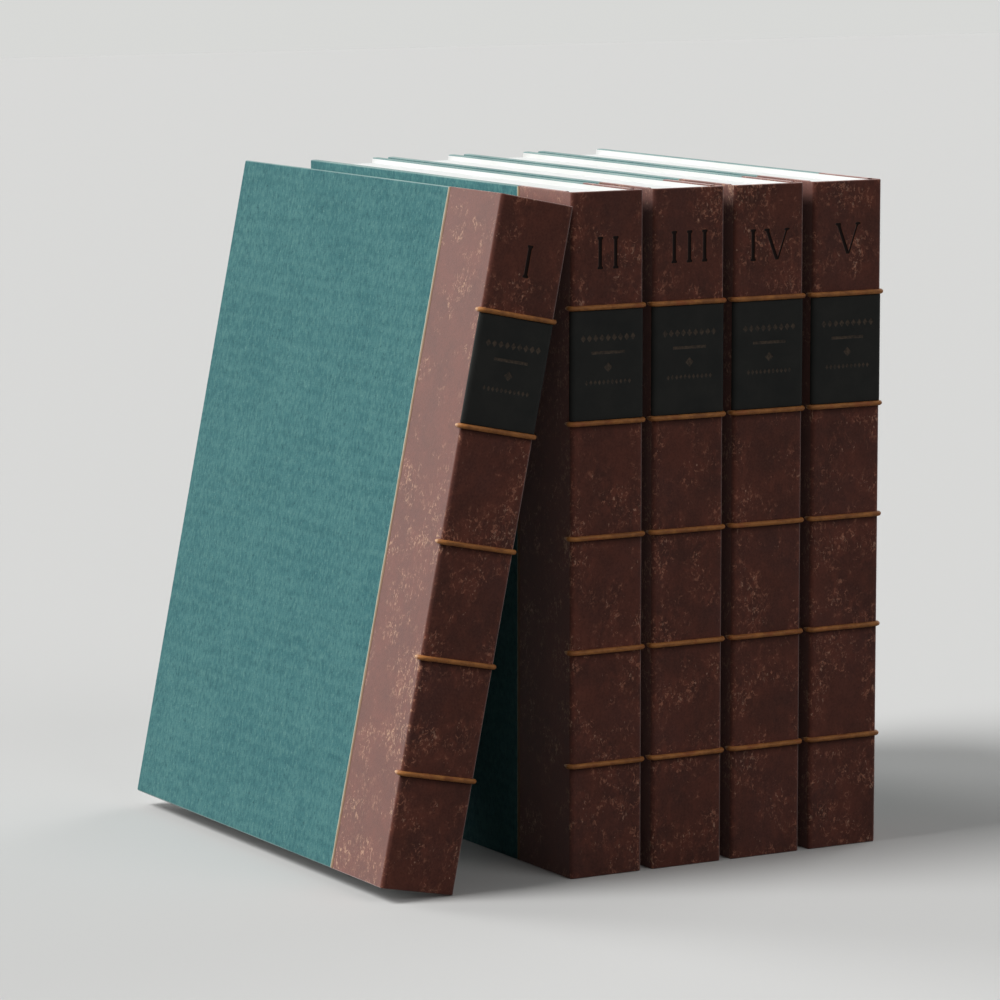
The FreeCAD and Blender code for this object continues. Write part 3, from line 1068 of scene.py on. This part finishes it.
def lining_paper(name, place):
    """Plain white paper with a faint tooth."""
    paper = Finish(name, place)
    tooth = paper.noise(0.5 * mm, 3.0, 0.6, seed=2.0)
    shade = paper.noise(30 * mm, 3.0, 0.5, seed=5.0)
    colour = paper.mix(paper.ramp(shade, 0.35, 0.65), srgb(228, 229, 227), srgb(221, 222, 219))
    return paper.done(colour, 0.85, paper.relief(tooth, 0.02 * mm), Specular_IOR_Level=0.1)


def lining_sheet():
    """A sheet over the inside of a cover. Where it leaves the turned-in margins it sinks by the
    ghost depth, eased over the step."""
    margin = depth - turn_in
    y = steps(lining_root, (fold + fine_reach, bend_step), (leather_reach - seam_zone, 3 * mm),
              (leather_reach + seam_zone, ghost_step), (margin - ghost_zone, 6 * mm),
              (margin + ghost_zone, ghost_step), (depth - paper_margin, 2 * mm))
    z = steps(paper_margin, (turn_in - ghost_zone, 2 * mm), (turn_in + ghost_zone, ghost_step),
              (height - turn_in - ghost_zone, 8 * mm),
              (height - turn_in + ghost_zone, ghost_step), (height - paper_margin, 2 * mm))
    in_from_fore = smooth((margin + ghost_ease / 2 - y) / ghost_ease)
    in_from_ends = smooth((np.minimum(z, height - z) - turn_in + ghost_ease / 2) / ghost_ease)
    sunk = lining_ghost * in_from_fore[:, None] * in_from_ends
    top = np.stack([cover + lining_rise - sunk, y[:, None] + 0 * sunk, z + 0 * sunk], axis=-1)
    bottom = top.copy()
    bottom[..., 0] = cover
    return closed_shell(top, bottom)


packed_paper = lining_paper("lining_paper", "object")
for node in frame["nodes"]:
    if "pastedown" in node:
        refinish(node, packed_paper)
open_paper = lining_paper("open_lining_paper", "spot")
for volume, side in free_side.items():
    lining = bind(f"lining_{volume}", volume, on_cover(side, lining_sheet()), open_paper,
                  [f"book_{volume}_{side}_pastedown"])
    bend(lining, volume, *lining_bend)

# The studio
# A plain pale floor, a broad key light from the left and above, a soft fill from the front, lower
# lights from behind on the left and from the right, and even light all round. The camera stands
# where the photograph was taken from: left of the spines and a little above them.

floor_size = 12.0
floor_colour = (0.65, 0.65, 0.64, 1)
floor_bounce = (0.16, 0.16, 0.16, 1)
sky_light = (0.12, 0.12, 0.12, 1)
sky_seen = (0.685, 0.69, 0.675, 1)
lamps = {"key": ((-0.62, 0.14, 0.76), 24, 2.4),
         "fill": ((0.25, -0.75, 0.6), 40, 0.5),
         "left_rim": ((-0.5, 0.84, 0.2), 30, 2.3),
         "right_rim": ((0.8, 0.3, 0.45), 30, 0.6)}
camera_place = (-0.88124, -1.54074, 0.37445)
camera_turn = (82.012, 0.04, -29.754)
lens = 169.4


def seen_directly(tree):
    """1 for what the camera, a mirror or a glass shows, and 0 for light on its way."""
    path = tree.nodes.new("ShaderNodeLightPath")
    total = path.outputs["Is Camera Ray"]
    for name in ("Is Glossy Ray", "Is Transmission Ray"):
        add = tree.nodes.new("ShaderNodeMath")
        add.operation = "MAXIMUM"
        tree.links.new(total, add.inputs[0])
        tree.links.new(path.outputs[name], add.inputs[1])
        total = add.outputs[0]
    return total


def two_colours(tree, light, seen):
    """The first colour for light on its way, and the second where it is seen."""
    node = tree.nodes.new("ShaderNodeMix")
    node.data_type = "RGBA"
    node.inputs[6].default_value = light
    node.inputs[7].default_value = seen
    tree.links.new(seen_directly(tree), node.inputs[0])
    return node.outputs[2]


scene = bpy.context.scene
world = bpy.data.worlds.new("studio")
world.use_nodes = True
scene.world = world
background = world.node_tree.nodes["Background"]
world.node_tree.links.new(two_colours(world.node_tree, sky_light, sky_seen),
                          background.inputs["Color"])

floor_mesh = bpy.data.meshes.new("floor")
half_floor = floor_size / 2
floor_mesh.from_pydata([(-half_floor, -half_floor, 0), (half_floor, -half_floor, 0),
                        (half_floor, half_floor, 0), (-half_floor, half_floor, 0)], [],
                       [(0, 1, 2, 3)])
floor = bpy.data.objects.new("floor", floor_mesh)
scene.collection.objects.link(floor)
floor_paint = Finish("floor_paint", "object")
floor_mesh.materials.append(floor_paint.done(
    two_colours(floor_paint.tree, floor_bounce, floor_colour), 0.9, Specular_IOR_Level=0.1))

for name, (source, spread, strength) in lamps.items():
    lamp = bpy.data.lights.new(name, "SUN")
    lamp.energy = strength
    lamp.angle = np.radians(spread)
    light = bpy.data.objects.new(name, lamp)
    light.rotation_euler = Vector(source).to_track_quat("Z", "Y").to_euler()
    scene.collection.objects.link(light)

camera = bpy.data.cameras.new("camera")
camera.lens = lens
camera.sensor_width = 36
camera.clip_start = 0.1
camera.clip_end = 50
viewer = bpy.data.objects.new("camera", camera)
viewer.location = camera_place
viewer.rotation_euler = np.radians(camera_turn)
scene.collection.objects.link(viewer)
scene.camera = viewer
scene.view_settings.view_transform = "Standard"
